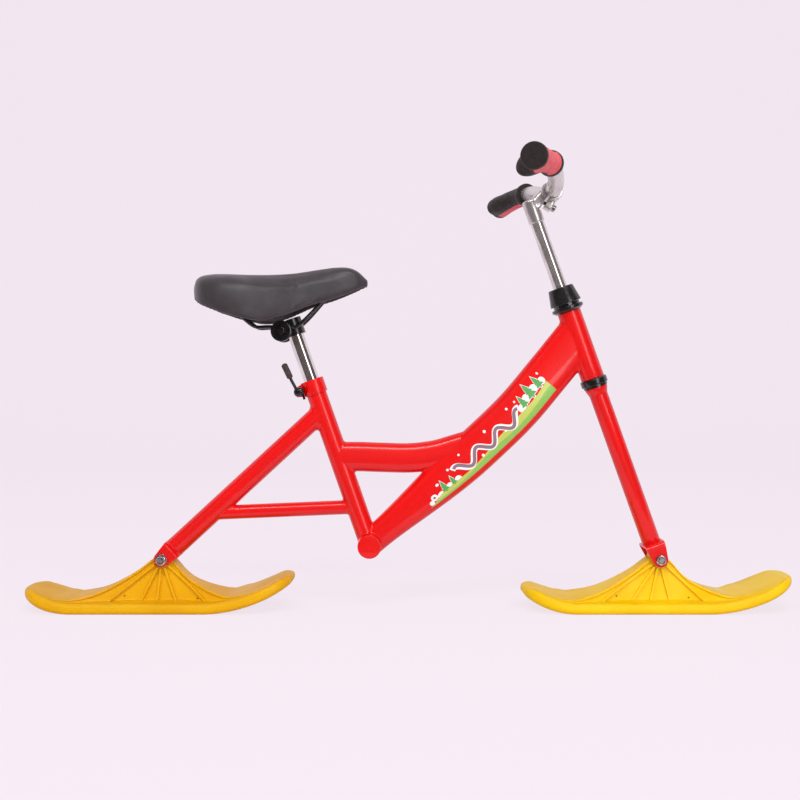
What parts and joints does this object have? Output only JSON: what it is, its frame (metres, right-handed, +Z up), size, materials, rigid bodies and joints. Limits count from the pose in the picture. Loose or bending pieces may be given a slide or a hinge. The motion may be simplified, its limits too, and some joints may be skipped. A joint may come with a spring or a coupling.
{
  "type": "snow bike",
  "caption": "Child's snow bike: a small bicycle frame with saddle and handlebar on a steerable front ski and a pivoting rear ski.",
  "frame": {"origin": "on the ground plane under the middle of the bike's overall length and width", "axes": "+X forward along the bike's length, +Y to the rider's left across the handlebar, +Z up"},
  "size_m": [1.079, 0.4481, 0.6239],
  "materials": {
    "red_paint": "gloss powder coat",
    "yellow_plastic": "semi-gloss moulded polypropylene",
    "chrome": "polished chrome plate",
    "satin_aluminium": "satin",
    "zinc_steel": "zinc plate",
    "black_steel": "gloss black",
    "black_plastic": "gloss moulded",
    "grip_rubber": "matte, with a red panel",
    "saddle_vinyl": "grained synthetic leather over foam"
  },
  "bodies": {
    "frame": {"head_tube": "red_paint", "down_tube": "red_paint", "top_tube": "red_paint", "seat_tube": "red_paint", "bottom_shell": "red_paint", "rear_stay": "red_paint", "brace_tube": "red_paint", "rear_clevis": "red_paint", "rear_pin_sleeve": "zinc_steel", "rear_pin_bolt": "zinc_steel", "rear_pin_nut": "zinc_steel", "rear_pin_washer_right": "zinc_steel", "rear_pin_washer_left": "zinc_steel", "lower_cup": "black_steel", "upper_cup": "black_steel", "lower_bearing": "zinc_steel", "upper_bearing": "zinc_steel", "seat_collar": "red_paint", "skewer": "zinc_steel", "skewer_nut": "black_steel", "lever_seat": "black_steel"},
    "fork": {"fork_leg": "red_paint", "steerer_tube": "zinc_steel", "crown_race": "black_steel", "top_race": "black_steel", "lock_nut": "zinc_steel", "headset_cover": "black_plastic", "front_clevis": "red_paint", "front_pin_sleeve": "zinc_steel", "front_pin_bolt": "zinc_steel", "front_pin_nut": "zinc_steel", "front_pin_washer_right": "zinc_steel", "front_pin_washer_left": "zinc_steel"},
    "stem": {"stem": "chrome", "expander_wedge": "zinc_steel", "expander_bolt": "zinc_steel", "pinch_bolt": "zinc_steel"},
    "handlebar": {"handlebar": "satin_aluminium", "grip_right": "grip_rubber", "grip_left": "grip_rubber"},
    "seat_post": {"seat_post": "chrome", "clamp_band": "black_steel"},
    "saddle": {"inner_disc_right": "black_steel", "inner_disc_left": "black_steel", "outer_disc_right": "black_steel", "outer_disc_left": "black_steel", "saddle_nut_right": "black_steel", "saddle_nut_left": "black_steel", "saddle_bolt": "black_steel", "rail_right": "black_steel", "rail_left": "black_steel", "saddle_base": "black_plastic", "saddle_cushion": "saddle_vinyl"},
    "quick_release": {"lever_cam": "black_steel", "lever_sleeve": "black_plastic"},
    "rear_ski": {"rear_ski": "yellow_plastic"},
    "front_ski": {"front_ski": "yellow_plastic"}
  },
  "joints": [
    {"name": "steering", "type": "hinge", "parent": "frame", "child": "fork", "pos_m": [0.3535, 0, 0.071], "axis": [-0.3371, 0, 0.9415], "range_deg": [-90, 90]},
    {"name": "stem_height", "type": "slide", "parent": "fork", "child": "stem", "axis": [-0.3371, 0, 0.9415], "range_m": [-0.045, 0.03]},
    {"name": "bar_roll", "type": "hinge", "parent": "stem", "child": "handlebar", "pos_m": [0.20287, 0, 0.58958], "axis": [0, -1, 0], "range_deg": [-30, 30]},
    {"name": "front_ski_pitch", "type": "hinge", "parent": "fork", "child": "front_ski", "pos_m": [0.3535, 0, 0.071], "axis": [0, -1, 0], "range_deg": [-40, 60]},
    {"name": "rear_ski_pitch", "type": "hinge", "parent": "frame", "child": "rear_ski", "pos_m": [-0.3465, 0, 0.071], "axis": [0, -1, 0], "range_deg": [-40, 20]},
    {"name": "seat_height", "type": "slide", "parent": "frame", "child": "seat_post", "axis": [-0.3322, 0, 0.9432], "range_m": [-0.02, 0.06]},
    {"name": "saddle_tilt", "type": "hinge", "parent": "seat_post", "child": "saddle", "pos_m": [-0.17799, 0, 0.3916], "axis": [0, -1, 0], "range_deg": [-15, 15]},
    {"name": "quick_release_lever", "type": "hinge", "parent": "frame", "child": "quick_release", "pos_m": [-0.15342, -0.016, 0.30617], "axis": [0.9432, 0, 0.3322], "range_deg": [0, 160]}
  ]
}
